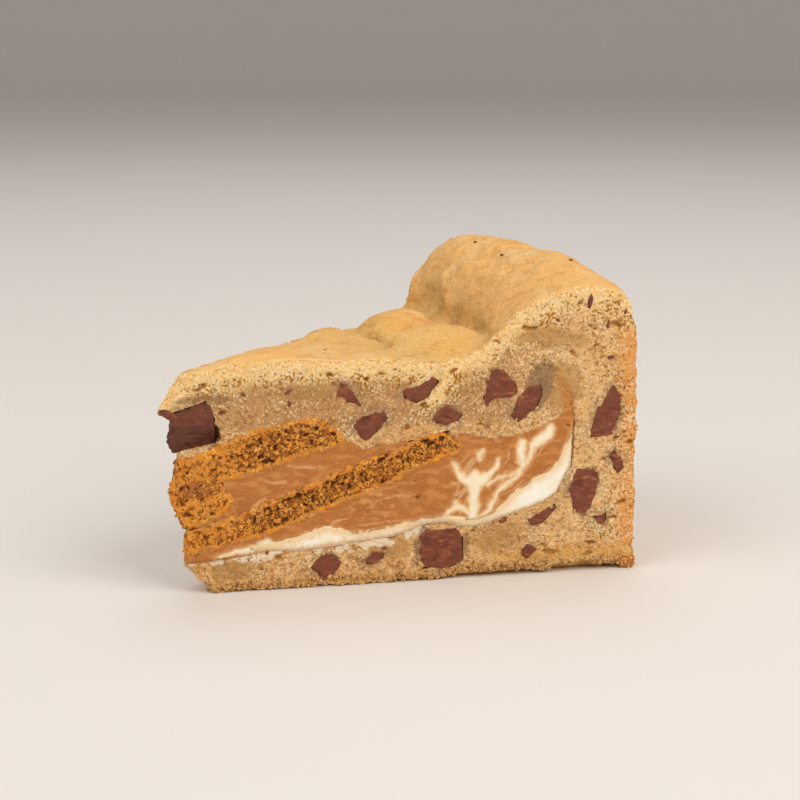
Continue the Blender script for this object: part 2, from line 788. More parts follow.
@dataclass
class FoodPiece:
    """A visible piece that stands for one solid of the frame.

    Attributes:
        name: The piece's name.
        node: The CAD node that it stands for.
        slot: The record's material slot.
        finish: Its surface.
        step: Grid spacing on the cut faces in millimetres.
        slices: Divisions from face to face, for the base of the dough.
        reach: How far its hidden sides are drawn out to meet their neighbours.
        refined: Into how many parts each edge is divided where the piece shows between the cuts.
        spill: How much further its edge on a cut face is smeared over the neighbours in places.
        proud: How far its cut faces stand out from those of the dough.
        shuffled: Whether it is so large that its grid comes out in another order in each run.
    """
    name: str
    node: str
    slot: str
    finish: Finish
    step: float = 0.28
    slices: int = 1
    reach: float = 0.35
    refined: int = 4
    spill: float = 0.25
    proud: float = 0.03
    shuffled: bool = False

    def shows(self, face: bmesh.types.BMFace) -> bool:
        """Whether a face of the solid shows away from the cut faces: here, the broken end at the tip."""
        centre = face.calc_center_median()
        return face.normal.dot(outward(centre)) < -0.4 and Vector(centre.xy).length < 20

    def moves(self, side: Side) -> bool:
        """Whether the faces of a side are drawn out to meet the neighbours."""
        return side not in CUT_NORMALS

    def shape(self, skin: Skin) -> Shaped:
        """How far each vertex moves, and what the finish reads there.

        Args:
            skin: The mesh to shape.

        Returns:
            Moves in millimetres, as rows of x, y, z, and the finish's attributes by name.
        """
        raise NotImplementedError

    def mesh(self) -> bpy.types.Mesh:
        """The solid with a fine grid wherever it shows.

        Returns:
            The mesh in millimetres about the pie's axis.
        """
        bm = WEDGE.solid(self.node)
        bm.normal_update()
        shown = dict.fromkeys(edge for face in bm.faces if self.shows(face) for edge in face.edges)
        bmesh.ops.subdivide_edges(bm, edges=list(shown), cuts=self.refined - 1, use_grid_fill=True)
        self.soften(bm)
        mesh = gridded(bm, self.step, self.slices)
        if self.shuffled:
            mesh = renumbered(mesh)
        drawn_out(mesh, self.reach, self.spill, self.moves)
        return mesh

    def soften(self, bm: bmesh.types.BMesh) -> None:
        """Rounds what the solid's flat facets leave; nothing here."""

    def build(self) -> bpy.types.Object:
        """Makes the piece and puts it in place of its node.

        Returns:
            The finished object.
        """
        mesh = self.mesh()
        skin = Skin.of(mesh, (Side.TOP, Side.BASE))
        moves, attributes = self.shape(skin)
        moves -= self.reach * skin.at_tip[:, None] * skin.normals
        return dressed(self.name, mesh, skin.points + moves, attributes, self.finish, self.slot, (self.node,))


def dressed(name: str, mesh: bpy.types.Mesh, points: np.ndarray, attributes: dict[str, np.ndarray], finish: Finish,
            slot: str, nodes: Sequence[str]) -> bpy.types.Object:
    """Finishes a piece: its place, attributes, shading, material and what it stands for.

    Args:
        name: The piece's name.
        mesh: Its mesh.
        points: Places of the mesh's vertices, in millimetres about the pie's axis.
        attributes: Values for each vertex, by name.
        finish: Its surface.
        slot: The record's material slot.
        nodes: CAD nodes that it replaces.

    Returns:
        The finished object, riding on the slice.
    """
    mesh.name = name
    places = (points + np.array(PIE_AXIS)) * MM
    mesh.vertices.foreach_set("co", places.astype(np.float32).ravel())
    for key, values in attributes.items():
        layer = mesh.attributes.new(key, "FLOAT", "POINT")
        layer.data.foreach_set("value", values.astype(np.float32))
    mesh.materials.clear()
    mesh.materials.append(finish.material())
    mesh.shade_smooth()
    mesh.set_sharp_from_angle(angle=EDGE_ANGLE)
    mesh.update()
    obj = linked(name, mesh)
    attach(obj, BODY)
    if nodes:
        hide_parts(*nodes)
    log.info("%s: %d faces", name, len(mesh.polygons))
    return obj


def chunk_nodes() -> list[str]:
    """The CAD nodes that are chocolate chunks."""
    return sorted(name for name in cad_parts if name.startswith("chunk_"))


def tree_of(*nodes: str) -> BVHTree:
    """A search tree of some CAD nodes, in millimetres about the pie's axis."""
    return BVHTree.FromBMesh(WEDGE.solid(*nodes))


class Strokes:
    """Strokes through the food, each a row of points along its middle: r, z and half width, in millimetres."""

    def __init__(self, *rows: Sequence[tuple[float, float, float]]) -> None:
        """Takes the strokes, one row of points for each."""
        self.rows = rows

    def reach(self, r: np.ndarray, z: np.ndarray) -> np.ndarray:
        """Distance of places from the nearest stroke's edge.

        Args:
            r: Their distances from the pie's axis.
            z: Their heights.

        Returns:
            One distance for each place, negative inside a stroke.
        """
        best = np.full(len(r), FAR)
        for row in self.rows:
            for (r0, z0, w0), (r1, z1, w1) in zip(row, row[1:]):
                length = (r1 - r0) ** 2 + (z1 - z0) ** 2
                t = np.clip(((r - r0) * (r1 - r0) + (z - z0) * (z1 - z0)) / length, 0.0, 1.0)
                away = np.hypot(r - r0 - t * (r1 - r0), z - z0 - t * (z1 - z0))
                best = np.minimum(best, away - w0 - t * (w1 - w0))
        return best


@dataclass(frozen=True)
class Fold:
    """A crease in the top, with a swelling beside it.

    Attributes:
        line: Points along the crease in plan, x and y in millimetres from the pie's axis.
        depth: How deep the crease is; below 0 it is a ridge or a bump.
        width: How wide it is.
        swell: How high the top swells to the right of the line's direction.
        swell_width: How far the swelling reaches; it fades past the line's ends.
    """
    line: tuple[tuple[float, float], ...]
    depth: float
    width: float
    swell: float = 0.0
    swell_width: float = 1.0

    def shape(self, points: np.ndarray) -> tuple[np.ndarray, np.ndarray]:
        """What the fold does to the top.

        Args:
            points: Places in millimetres.

        Returns:
            Height that it adds at each place, and how deep in the crease the place lies, from 0 to 1.
        """
        best = np.full(len(points), FAR)
        beside, past = np.zeros(len(points)), np.zeros(len(points))
        for start, end in zip(self.line, self.line[1:]):
            along = np.subtract(end, start)
            away = points[:, :2] - start
            share = away @ along / (along @ along)
            t = np.clip(share, 0.0, 1.0)
            gap = away - t[:, None] * along
            reach = np.hypot(gap[:, 0], gap[:, 1])
            past = np.where(reach < best, np.abs(share - t) * math.hypot(*along), past)
            side = np.sign(away[:, 0] * along[1] - away[:, 1] * along[0])
            beside = np.where(reach < best, side * reach, beside)
            best = np.minimum(best, reach)
        crease = np.exp(-(best / self.width) ** 2)
        swelling = ramp(beside, 0.0, 1.6) * ramp(beside, self.swell_width, 1.6) * ramp(past, 4.0, 0.5)
        hollow = np.exp(-(best / (2.4 * self.width)) ** 2)
        return self.swell * swelling - self.depth * crease, hollow


TOP_FOLDS = (
    Fold(((70.5, 7.0), (71.2, 14.0), (71.6, 23.0), (70.7, 31.7), (69.6, 37.1), (69.0, 40.3), (68.6, 44.6),
          (67.4, 49.4), (65.5, 53.3), (62.5, 57.0)), 0.8, 1.0, 0.5, 9.0),
    Fold(((49.4, 10.0), (51.4, 18.0), (51.7, 25.4), (50.7, 27.7), (48.9, 29.9), (46.8, 35.1)), 0.9, 0.9, 0.6, 7.0),
    Fold(((50.5, 13.0), (54.0, 19.0), (60.0, 24.5), (66.0, 27.5), (70.0, 29.5)), 0.9, 0.9, 0.5, 7.0),
    Fold(((50.4, 9.5), (50.2, 6.5), (52.0, 4.2), (56.0, 3.4)), 0.2, 1.4),
    Fold(((60.0, 16.5), (64.0, 18.5)), -1.7, 5.0),
    Fold(((33.0, 18.0), (28.5, 8.5), (24.0, 4.2), (18.0, 0.6)), 0.3, 0.6, 0.45, 6.0),
    Fold(((72.8, 3.4), (76.0, 1.7), (79.0, 1.1), (81.5, 1.6)), 0.8, 0.45),
    Fold(((70.4, 45.0), (70.2, 42.0), (70.1, 38.6)), -1.0, 0.8),
    Fold(((49.8, 32.5), (48.9, 35.0), (47.0, 38.5), (44.5, 44.0)), 1.9, 1.8),
    Fold(((67.2, 66.3), (63.5, 60.5), (62.5, 56.8), (64.0, 54.0)), 1.8, 2.5),
    Fold(((77.0, 40.0), (80.0, 30.0), (84.0, 22.0)), 0.35, 1.6),
    Fold(((80.0, 20.0), (86.0, 13.0), (93.0, 9.0)), 0.3, 1.4),
)
COCOA_SMEARS = Strokes(
    ((78.9, 37.0, 1.8), (79.6, 40.2, 2.9), (80.6, 43.6, 2.2)),
    ((11.4, 30.2, 0.8), (11.2, 33.0, 0.4)),
    ((4.0, 40.2, 0.3), (9.0, 40.8, 0.6), (14.5, 40.4, 0.2)),
    ((53.6, 4.0, 0.3), (53.4, 8.0, 0.4), (55.0, 11.4, 0.3)),
    ((63.8, 5.0, 0.3), (64.2, 9.0, 0.4)),
)
CARAMEL_SMEAR = Strokes(((86.3, 33.0, 1.3), (86.2, 36.5, 1.1), (85.4, 39.5, 0.9), (83.8, 42.0, 0.4)))
MILKY_EDGE = Strokes(((4.6, 6.6, 0.4), (12.0, 6.8, 0.5), (21.5, 7.3, 0.6), (31.0, 7.6, 0.9)))


@dataclass
class CookieDough(FoodPiece):
    """The baked dough: crumb with pores on the cuts, and a browned skin on the top, the wall and the base.

    Attributes:
        pore_size: Width of its larger holes in millimetres.
        pore_depth: Their depth.
        clod_size: Width of the loose clods of crumb.
        clod_place: Their middle, as r and z.
        clod_spread: How far around it they lie.
        foot_wear: How high the lower edge of the cut faces is broken away at each r.
        airy_places: Where the crumb is open, as r, z and width.
        moist_places: Where it is dense and moist, as r, z, half length and half height.
        skin_reach: How far from the top and the base the crumb is coloured by them.
        smoothings: How often the top and the wall are smoothed.
        worn: How far the edges between the skin and the cuts are worn off.
        ragged: How far the edges on the cuts stray.
        fold_from: Height above which the top's folds lie.
        creases: How many of the folds, from the first, are creases that hold a deeper colour.
    """
    name: str = "cookie_dough_baked"
    node: str = "cookie_dough"
    slot: str = "dough"
    finish: Finish = BAKED_DOUGH
    step: float = 0.37
    slices: int = 20
    reach: float = 0.2
    spill: float = 0.0
    shuffled: bool = True
    pore_size: float = 1.5
    pore_depth: float = 0.7
    clod_size: float = 2.2
    clod_place: tuple[float, float] = (80.5, 46.8)
    clod_spread: float = 8.0
    foot_wear: tuple[tuple[float, float], ...] = (
        (9.2, 2.2), (10.6, 0.3), (20, 0.5), (42, 0.4), (60, 0.5), (65, 1.1), (72, 1.5), (80, 1.1), (86, 1.5),
        (90, 1.9), (94, 1.3), (98, 1.1), (100, 0.2))
    airy_places: tuple[tuple[float, float, float], ...] = (
        (84.0, 54.0, 8.0), (92.0, 50.0, 8.0), (97.0, 44.0, 5.0), (97.0, 30.0, 6.0), (93.0, 9.0, 7.0),
        (80.0, 3.0, 8.0), (17.0, 7.5, 6.0), (65.0, 13.5, 5.0), (100.0, 16.0, 7.0))
    moist_places: tuple[tuple[float, float, float, float], ...] = (
        (15.0, 4.6, 6.0, 2.6), (71.0, 8.6, 7.0, 3.4), (82.5, 50.2, 9.0, 2.6), (85.5, 40.0, 4.5, 7.0),
        (47.0, 7.5, 6.0, 2.5), (30.0, 41.0, 8.0, 2.0))
    skin_reach: float = 14.0
    smoothings: int = 10
    worn: float = 0.4
    ragged: float = 0.36
    fold_from: float = 42.0
    creases: int = 4

    def shows(self, face: bmesh.types.BMFace) -> bool:
        """Whether a face shows away from the cut faces."""
        side = WEDGE.side_of(face.calc_center_median(), face.normal)
        return side in (Side.TOP, Side.WALL) or super().shows(face)

    def moves(self, side: Side) -> bool:
        """Only the walls of the hollow and of the pockets meet neighbours."""
        return side is Side.INSIDE

    def soften(self, bm: bmesh.types.BMesh) -> None:
        """Rounds the facets of the top and the wall.

        Args:
            bm: The solid; it is changed.
        """
        bm.normal_update()
        outside = (Side.TOP, Side.WALL)
        inner = [
            vert for vert in bm.verts
            if all(WEDGE.side_of(face.calc_center_median(), face.normal) in outside for face in vert.link_faces)]
        for _ in range(self.smoothings):
            bmesh.ops.smooth_vert(bm, verts=inner, factor=0.5, use_axis_x=True, use_axis_y=True, use_axis_z=True)

    def shape(self, skin: Skin) -> Shaped:
        """Crumb, pores and clods on the cuts, folds and wrinkles on the skin and a ragged foot.

        Args:
            skin: The mesh to shape.

        Returns:
            Moves in millimetres, as rows of x, y, z, and the finish's attributes by name.
        """
        points, r, z = skin.points, skin.r, skin.z
        top, base = (skin.to_side(side, self.skin_reach) for side in (Side.TOP, Side.BASE))
        wall = np.maximum(TIN_RADIUS - r, 0.0)
        inside = np.minimum(*WEDGE.depths(points[:, 0], points[:, 1]))
        outside = skin.sides[Side.TOP] | skin.sides[Side.WALL] | skin.sides[Side.BASE]
        crumb = np.where(outside & ~skin.cut & ~skin.sides[Side.INSIDE], 0.0, 1.0)
        moist = self._moisture(skin)
        airy = (self._airiness(skin, top, wall) + 0.35 * noise_at(points, 2.4, 18.0)) * (1 - 0.8 * moist)
        pit = self._pores(points, airy) * crumb
        rise = 0.28 * noise_at(points, 9.0, 3.0)
        rise += (0.18 * noise_at(points, 2.6, 7.0) + 0.2 * noise_at(points, 1.3, 11.0)) * (1 - 0.6 * moist)
        loose, clods = self._clods(skin)
        rise += clods - self.pore_depth * pit
        fold_rise, hollow = self._folds(skin)
        skin_rise = fold_rise + 0.32 * noise_at(points, 5.0, 61.0) + 0.24 * noise_at(points, 2.0, 67.0, (1.5, 1, 1))
        worn_edge = self.worn * np.where(crumb > 0.5, ramp(top, 1.0, 0.0), ramp(inside, 1.3, 0.0))
        height = rise * crumb + skin_rise * (1 - crumb) - worn_edge
        height *= np.where(skin.sides[Side.BASE] & ~skin.cut, 0.0, 1.0)
        moves = skin.normals * height[:, None]
        moves += self._ragged_foot(skin, inside)
        moves += self._ragged_edges(skin)
        chunks = skin.distance(tree_of(*chunk_nodes()), 4.0)
        white = skin.distance(tree_of("white_filling"), 5.0)
        cocoa = np.maximum(
            ramp(chunks, 1.3, 0.1) * ramp(noise_at(points, 4.0, 23.0), -0.05, 0.35),
            ramp(COCOA_SMEARS.reach(r, z), 1.1, -0.6))
        cocoa = np.maximum(cocoa, 2.0 * ramp(r, 3.4, 1.6) * ramp(z, 39.0, 38.0))
        milk = np.maximum(ramp(white, 3.2, 0.6) * ramp(r, 66, 50), ramp(MILKY_EDGE.reach(r, z), 1.2, -0.3))
        golden_base = ramp(base, 8.0, 3.0) * ramp(r, 66, 76)
        golden_valley = ramp(r, 40, 52) * ramp(r, 74, 66) * ramp(top, 1.0, 0.0)
        toast = self._toast(skin, wall)
        near_cut = ramp(inside, 3.2, 0.4)
        crust = (1 - crumb) * ramp(inside + 0.6 * noise_at(points, 1.6, 69.0), 0.1, 1.6)
        patches = ramp(noise_at(points, 7.0, 51.0, (1.6, 1.0, 1.0)), -0.15, 0.35)
        grain = 0.38 + 0.12 * ramp(z, 36, 32) + 0.35 * airy + 0.3 * ramp(top, 5.0, 2.0) + 0.5 * loose - 0.3 * moist
        attributes = {
            "top_depth": top,
            "wall_depth": wall,
            "base_depth": base,
            "pit": pit,
            "airy": airy * crumb,
            "moist": moist,
            "crust": crust,
            "lid": ramp(z, 32, 35) * ramp(wall, 20, 30) * ramp(top, 2, 5),
            "golden": np.where(crumb > 0.5, golden_base, golden_valley),
            "grain": grain + 0.45 * noise_at(points, 4.0, 31.0),
            "hollow": np.clip(hollow * (0.78 + 0.6 * noise_at(points, 5.0, 87.0)), 0.0, 1.0) * crust,
            "toast": toast * (1 - hollow) * (1 - 0.7 * near_cut * ramp(z, 40, 44)) * crust,
            "skin_pale": np.maximum(patches * (1 - toast), near_cut) * crust,
            "milk": milk * ramp(noise_at(points, 2.6, 41.0), -0.3, 0.2),
            "stain": ramp(chunks, 3.4, 0.3) * ramp(noise_at(points, 4.5, 49.0), -0.25, 0.2) * crumb,
            "cocoa": cocoa * crumb,
            "caramel": ramp(CARAMEL_SMEAR.reach(r, z), 1.6, -0.8),
        }
        return moves, attributes

    def _airiness(self, skin: Skin, top: np.ndarray, wall: np.ndarray) -> np.ndarray:
        """Where the crumb is open: below the lid's skin, along the wall and in some places of the foot.

        Args:
            skin: The dough's vertices.
            top: Their distances from the top.
            wall: Their depths inside the tin's radius.

        Returns:
            One value for each vertex, from 0 to 1.
        """
        airy = 0.34 + 0.5 * ramp(top, 8.0, 4.5) * ramp(top, 1.3, 3.0) + 0.3 * ramp(wall, 12.0, 3.0)
        for r, z, width in self.airy_places:
            away = np.hypot(skin.r - r, skin.z - z) / width
            airy = np.maximum(airy, 0.8 * ramp(away, 1.3, 0.4))
        return np.clip(airy + 0.25 * noise_at(skin.points, 6.0, 17.0), 0.0, 1.0)

    def _moisture(self, skin: Skin) -> np.ndarray:
        """Where the crumb is dense and moist.

        Args:
            skin: The dough's vertices.

        Returns:
            One value for each vertex, from 0 to 1.
        """
        moist = np.zeros(len(skin.points))
        for r, z, length, tall in self.moist_places:
            away = np.hypot((skin.r - r) / length, (skin.z - z) / tall)
            moist = np.maximum(moist, ramp(away + 0.35 * noise_at(skin.points, 2.5, 19.0), 1.15, 0.55))
        return moist

    def _pores(self, points: np.ndarray, airy: np.ndarray) -> np.ndarray:
        """Where the larger holes are.

        Args:
            points: Places in millimetres.
            airy: How open the crumb is there.

        Returns:
            One value for each place, from 0 to 1.
        """
        hole = noise_at(points, self.pore_size, 5.0, (1.5, 1.2, 0.8)) + 0.4 * noise_at(points, 3.0, 9.0)
        start = 0.74 - 0.34 * airy
        return np.clip((hole - start) / 0.2, 0.0, 1.0)

    def _clods(self, skin: Skin) -> tuple[np.ndarray, np.ndarray]:
        """The loose clods of crumb under the raised rim.

        Args:
            skin: The dough's vertices.

        Returns:
            How loose the crumb is at each vertex, from 0 to 1, and how high it stands there.
        """
        near = ramp(np.hypot(skin.r - self.clod_place[0], (skin.z - self.clod_place[1]) * 1.5), self.clod_spread, 3.0)
        rise = np.zeros(len(near))
        chosen = near > 0.01
        middle, crack = clods_at(skin.points[chosen], self.clod_size, 3.0)
        rise[chosen] = near[chosen] * (0.35 * ramp(middle, 0.6, 0.1) - 0.45 * ramp(crack, 0.18, 0.0))
        return near, rise

    def _folds(self, skin: Skin) -> tuple[np.ndarray, np.ndarray]:
        """All of the top's folds together.

        Args:
            skin: The dough's vertices.

        Returns:
            Height that the folds add at each vertex, and how deep in a crease it lies, from 0 to 1.
        """
        upper = ramp(skin.z, self.fold_from, self.fold_from + 2)
        shapes = [fold.shape(skin.points) for fold in TOP_FOLDS]
        rise = np.sum([rise for rise, _ in shapes], axis=0)
        hollow = np.max([depth for _, depth in shapes[:self.creases]], axis=0)
        return rise * upper, hollow * upper

    def _toast(self, skin: Skin, wall: np.ndarray) -> np.ndarray:
        """How brown the skin is baked: most on the wall, the base and the rim's upper edge.

        Args:
            skin: The dough's vertices.
            wall: Their depths inside the tin's radius.

        Returns:
            One value for each vertex, from 0 to 1.
        """
        brown = np.where(skin.sides[Side.WALL], 1.0, 0.25 + 0.45 * ramp(wall, 9.0, 0.5))
        brown = np.maximum(brown, np.where(skin.sides[Side.BASE], 0.95, 0.0))
        return np.clip(brown + 0.35 * noise_at(skin.points, 7.0, 83.0), 0.0, 1.0)

    def _ragged_foot(self, skin: Skin, depth: np.ndarray) -> np.ndarray:
        """Crumbs broken away along the lower edges of the cut faces.

        Args:
            skin: The dough's vertices.
            depth: How far they lie behind the nearer cut face.

        Returns:
            Moves in millimetres, as rows of x, y, z.
        """
        wear = np.interp(skin.r, *zip(*self.foot_wear))
        bite = 0.8 * noise_at(skin.points, 2.4, 91.0) + 0.5 * noise_at(skin.points, 1.1, 97.0)
        lift = np.maximum(wear + bite * (0.5 + 0.5 * wear), 0.0) * ramp(depth, 3.0, 0.3)
        moves = np.zeros_like(skin.points)
        moves[:, 2] = lift * ramp(skin.z, 3.2, 0.0)
        bitten = 0.35 * lift + 0.5 * ramp(lift, 0.2, 1.0) * noise_at(skin.points, 1.3, 93.0)
        inward = bitten * ramp(skin.z, 1.6, 0.0)
        for side, normal in CUT_NORMALS.items():
            on_side = skin.sides[side]
            moves[on_side] -= inward[on_side, None] * normal
        return moves

    def _ragged_edges(self, skin: Skin) -> np.ndarray:
        """Uneven edges round the pockets and the filling, and where the cut meets the skin.

        Args:
            skin: The dough's vertices.

        Returns:
            Moves in millimetres, as rows of x, y, z.
        """
        edge = skin.cut & (skin.sides[Side.INSIDE] | skin.sides[Side.TOP] | skin.sides[Side.WALL])
        moves = np.zeros_like(skin.points)
        for axis, seed in ((0, 101.0), (2, 103.0)):
            moves[edge, axis] = self.ragged * noise_at(skin.points[edge], 1.1, seed)
        return moves


MARBLING = Strokes(
    ((65.8, 21.1, 1.5), (66.0, 18.9, 1.2), (66.0, 16.8, 1.1), (65.8, 14.6, 1.0), (65.1, 13.0, 0.8)),
    ((61.4, 25.0, 0.25), (62.9, 23.2, 0.35), (63.8, 21.5, 0.6), (65.2, 20.4, 1.0)),
    ((67.2, 21.0, 1.0), (69.2, 22.2, 0.65), (70.6, 23.9, 0.45), (71.1, 25.3, 0.15)),
    ((59.3, 13.4, 0.15), (60.1, 14.9, 0.3), (61.5, 15.9, 0.4), (63.1, 15.3, 0.25), (64.5, 14.2, 0.4)),
    ((67.7, 27.5, 0.1), (66.6, 26.6, 0.3), (66.8, 25.2, 0.1)),
    ((68.2, 13.1, 0.2), (69.2, 15.5, 0.35), (70.5, 18.0, 0.3), (72.4, 19.7, 0.3), (74.4, 21.0, 0.25),
     (76.4, 23.2, 0.35), (77.6, 25.3, 0.3)),
    ((68.8, 20.2, 0.15), (71.0, 21.1, 0.1), (73.5, 21.7, 0.1), (76.0, 23.0, 0.1)),
    ((76.3, 28.2, 0.8), (75.6, 27.0, 0.8), (76.0, 25.2, 0.75), (76.5, 23.4, 0.3)),
    ((82.5, 31.7, 0.25), (81.6, 30.1, 1.0), (80.1, 29.0, 0.9), (78.6, 28.2, 0.5), (78.1, 26.9, 0.35),
     (77.6, 25.3, 0.25)),
    ((63.5, 12.1, 0.15), (65.6, 12.3, 0.45), (67.8, 13.1, 0.15)),
    ((11.5, 7.6, 0.1), (16.5, 8.4, 0.5), (21.8, 9.7, 1.0)),
)
SMEARS = Strokes(
    ((26.5, 26.1, 0.15), (28.9, 25.7, 0.3), (31.0, 25.3, 0.25), (33.4, 25.1, 0.1)),
    ((21.7, 23.2, 0.1), (24.1, 22.5, 0.2), (26.5, 23.1, 0.15)),
    ((18.9, 17.9, 0.1), (20.3, 18.5, 0.25), (21.5, 19.7, 0.15)),
    ((29.9, 11.6, 0.1), (32.6, 12.0, 0.2), (35.8, 13.2, 0.25), (39.0, 14.1, 0.15)),
    ((44.5, 17.6, 0.05), (48.0, 18.4, 0.1), (52.0, 18.2, 0.05)),
    ((40.0, 12.6, 0.05), (45.0, 13.3, 0.15), (50.0, 13.2, 0.05)),
    ((69.5, 13.5, 0.05), (71.0, 16.5, 0.1), (74.0, 18.4, 0.1), (76.5, 20.6, 0.05)),
    ((72.5, 27.5, 0.05), (73.0, 25.0, 0.1), (72.0, 23.0, 0.05)),
    ((79.2, 25.5, 0.05), (80.0, 27.0, 0.1), (82.0, 28.4, 0.05)),
)


@dataclass
class Spread(FoodPiece):
    """Biscuit spread, cut smooth, with white filling drawn through it.

    Attributes:
        swirl: How far the marbling is drawn out of line, in millimetres.
        sway: How far it sways along r and z on its way to the back.
        sway_pitch: Over what height and what length it sways.
        lump_place: Where biscuit grains lie in it, as r and z.
        lump_spread: How far around it they lie.
    """
    slot: str = "spread"
    finish: Finish = BISCUIT_SPREAD
    step: float = 0.22
    swirl: float = 0.8
    sway: tuple[float, float] = (4.0, 2.5)
    sway_pitch: tuple[float, float] = (5.0, 7.0)
    lump_place: tuple[float, float] = (45.0, 16.5)
    lump_spread: float = 11.0

    def shape(self, skin: Skin) -> Shaped:
        """Marbling that shifts on its way back, and a nearly smooth cut with some biscuit grains.

        Args:
            skin: The mesh to shape.

        Returns:
            Moves in millimetres, as rows of x, y, z, and the finish's attributes by name.
        """
        points, r, z, turn = skin.points, skin.r, skin.z, np.clip(skin.turn, 0, 1)
        shift = ramp(turn, 0.03, 1.0)
        r_drawn = r + shift * self.sway[0] * np.sin(z / self.sway_pitch[0] + 1.0)
        z_drawn = z + shift * self.sway[1] * np.sin(r / self.sway_pitch[1])
        r_drawn += self.swirl * (noise_at(points, 3.4, 71.0) + 0.4 * noise_at(points, 1.3, 73.0))
        z_drawn += self.swirl * (noise_at(points, 3.4, 75.0) + 0.4 * noise_at(points, 1.3, 77.0))
        layer = skin.distance(tree_of("white_filling"), 4.0) + 0.35 * noise_at(points, 1.6, 85.0)
        white = np.minimum(MARBLING.reach(r_drawn, z_drawn) - 0.15, layer)
        smear = ramp(SMEARS.reach(r_drawn, z_drawn), 0.35, -0.1)
        drift = np.stack((r_drawn + z_drawn, 1.5 * points[:, 1], z_drawn - r_drawn), axis=1)
        thread = ramp(np.abs(noise_at(drift, 2.4, 81.0, (3.2, 1, 1))), 0.22, 0.03) * ramp(r_drawn, 54, 63)
        thread *= ramp(noise_at(points, 4.5, 83.0), -0.25, 0.15) * ramp(r_drawn, 83, 78)
        lumpy = ramp(np.hypot(r - self.lump_place[0], (z - self.lump_place[1]) * 1.8), self.lump_spread, 2.0)
        lump = ramp(noise_at(points, 1.1, 13.0), 0.05, 0.4) * lumpy
        pit = ramp(noise_at(points, 1.0, 19.0), 0.62, 0.8) * ramp(white, 0.3, 1.0)
        rise = self.proud + 0.12 * noise_at(points, 7.0, 2.0) + 0.06 * noise_at(points, 1.8, 4.0)
        rise += 0.14 * lump - 0.25 * pit
        ends = ~skin.cut & (r < 22)
        rise[ends] += 0.3 * noise_at(points[ends], 1.5, 6.0)
        attributes = {"white_reach": white, "smear": np.maximum(smear, 1.1 * thread), "lump": lump, "pit": pit}
        return skin.normals * rise[:, None], attributes


@dataclass
class White(FoodPiece):
    """The white filling: a thin layer that thickens into a pool near the wall.

    Attributes:
        overlap: How far its thin end reaches over the spread's own white.
    """
    name: str = "white_filling_poured"
    node: str = "white_filling"
    slot: str = "white"
    finish: Finish = WHITE_FILLING
    step: float = 0.22
    spill: float = 0.35
    overlap: float = 0.5

    def shape(self, skin: Skin) -> Shaped:
        """A smooth cut, stained by the spread along its upper edge and crumbly along its lower one.

        Args:
            skin: The mesh to shape.

        Returns:
            Moves in millimetres, as rows of x, y, z, and the finish's attributes by name.
        """
        points, r = skin.points, skin.r
        spread, dough = (skin.distance(tree_of(node), 6.0) for node in ("spread_lower", "cookie_dough"))
        crumbs = ramp(noise_at(points, 0.9, 29.0), 0.15, 0.5) * ramp(r, 62, 45)
        rise = self.proud + 0.10 * noise_at(points, 6.0, 12.0) + 0.02 * noise_at(points, 1.5, 14.0) + 0.1 * crumbs
        rise -= 0.3 * ramp(dough + 0.3 * noise_at(points, 1.1, 16.0), 1.0, 0.2)
        attributes = {"rim": spread, "crumbs": crumbs, "dough_near": dough + 0.5 * ramp(r, 60, 75)}
        moves = skin.normals * rise[:, None]
        moves[:, :2] -= (self.overlap * ramp(r, 23.5, 21.5) / r)[:, None] * points[:, :2]
        return moves, attributes


@dataclass
class Biscuit(FoodPiece):
    """A baked biscuit: coarse open crumb in the middle, soaked and paler along its sides.

    Attributes:
        pore_size: Width of its larger holes in millimetres.
        pore_depth: Their depth.
        wet_place: Where the spread has soaked it dark, as r and z.
    """
    slot: str = "biscuit"
    finish: Finish = CARAMEL_BISCUIT
    step: float = 0.22
    refined: int = 5
    spill: float = 0.5
    proud: float = 0.08
    pore_size: float = 0.95
    pore_depth: float = 0.65
    wet_place: tuple[float, float] = (8.0, 22.0)

    def shape(self, skin: Skin) -> Shaped:
        """Holes and grains, coarsest in the middle of the biscuit's thickness.

        Args:
            skin: The mesh to shape.

        Returns:
            Moves in millimetres, as rows of x, y, z, and the finish's attributes by name.
        """
        points, r = skin.points, skin.r
        edge = skin.distance(tree_of("spread_lower", "spread_upper", "cookie_dough"), 6.0)
        dry = ramp(edge + 0.5 * noise_at(points, 2.0, 25.0), 0.1, 1.3) * (0.8 + 0.2 * ramp(r, 10, 22))
        hole = noise_at(points, self.pore_size, 21.0) + 0.6 * noise_at(points, 2.4, 27.0)
        pit = np.clip((hole - 0.60 + 0.34 * dry) / 0.25, 0.0, 1.0) * (0.4 + 0.6 * dry)
        rise = self.proud + 0.2 * noise_at(points, 3.0, 35.0) + 0.34 * noise_at(points, 1.2, 33.0)
        rise -= self.pore_depth * pit
        soaked = (1 - dry) * ramp(noise_at(points, 4.0, 37.0), -0.25, 0.25)
        wet = ramp(np.hypot((r - self.wet_place[0]) / 5.0, (skin.z - self.wet_place[1]) / 2.2), 1.2, 0.5)
        grain = 0.5 + 0.25 * dry + 0.4 * noise_at(points, 2.8, 39.0)
        return skin.normals * rise[:, None], {"pit": pit, "dry": dry, "soaked": soaked, "wet": wet, "grain": grain}


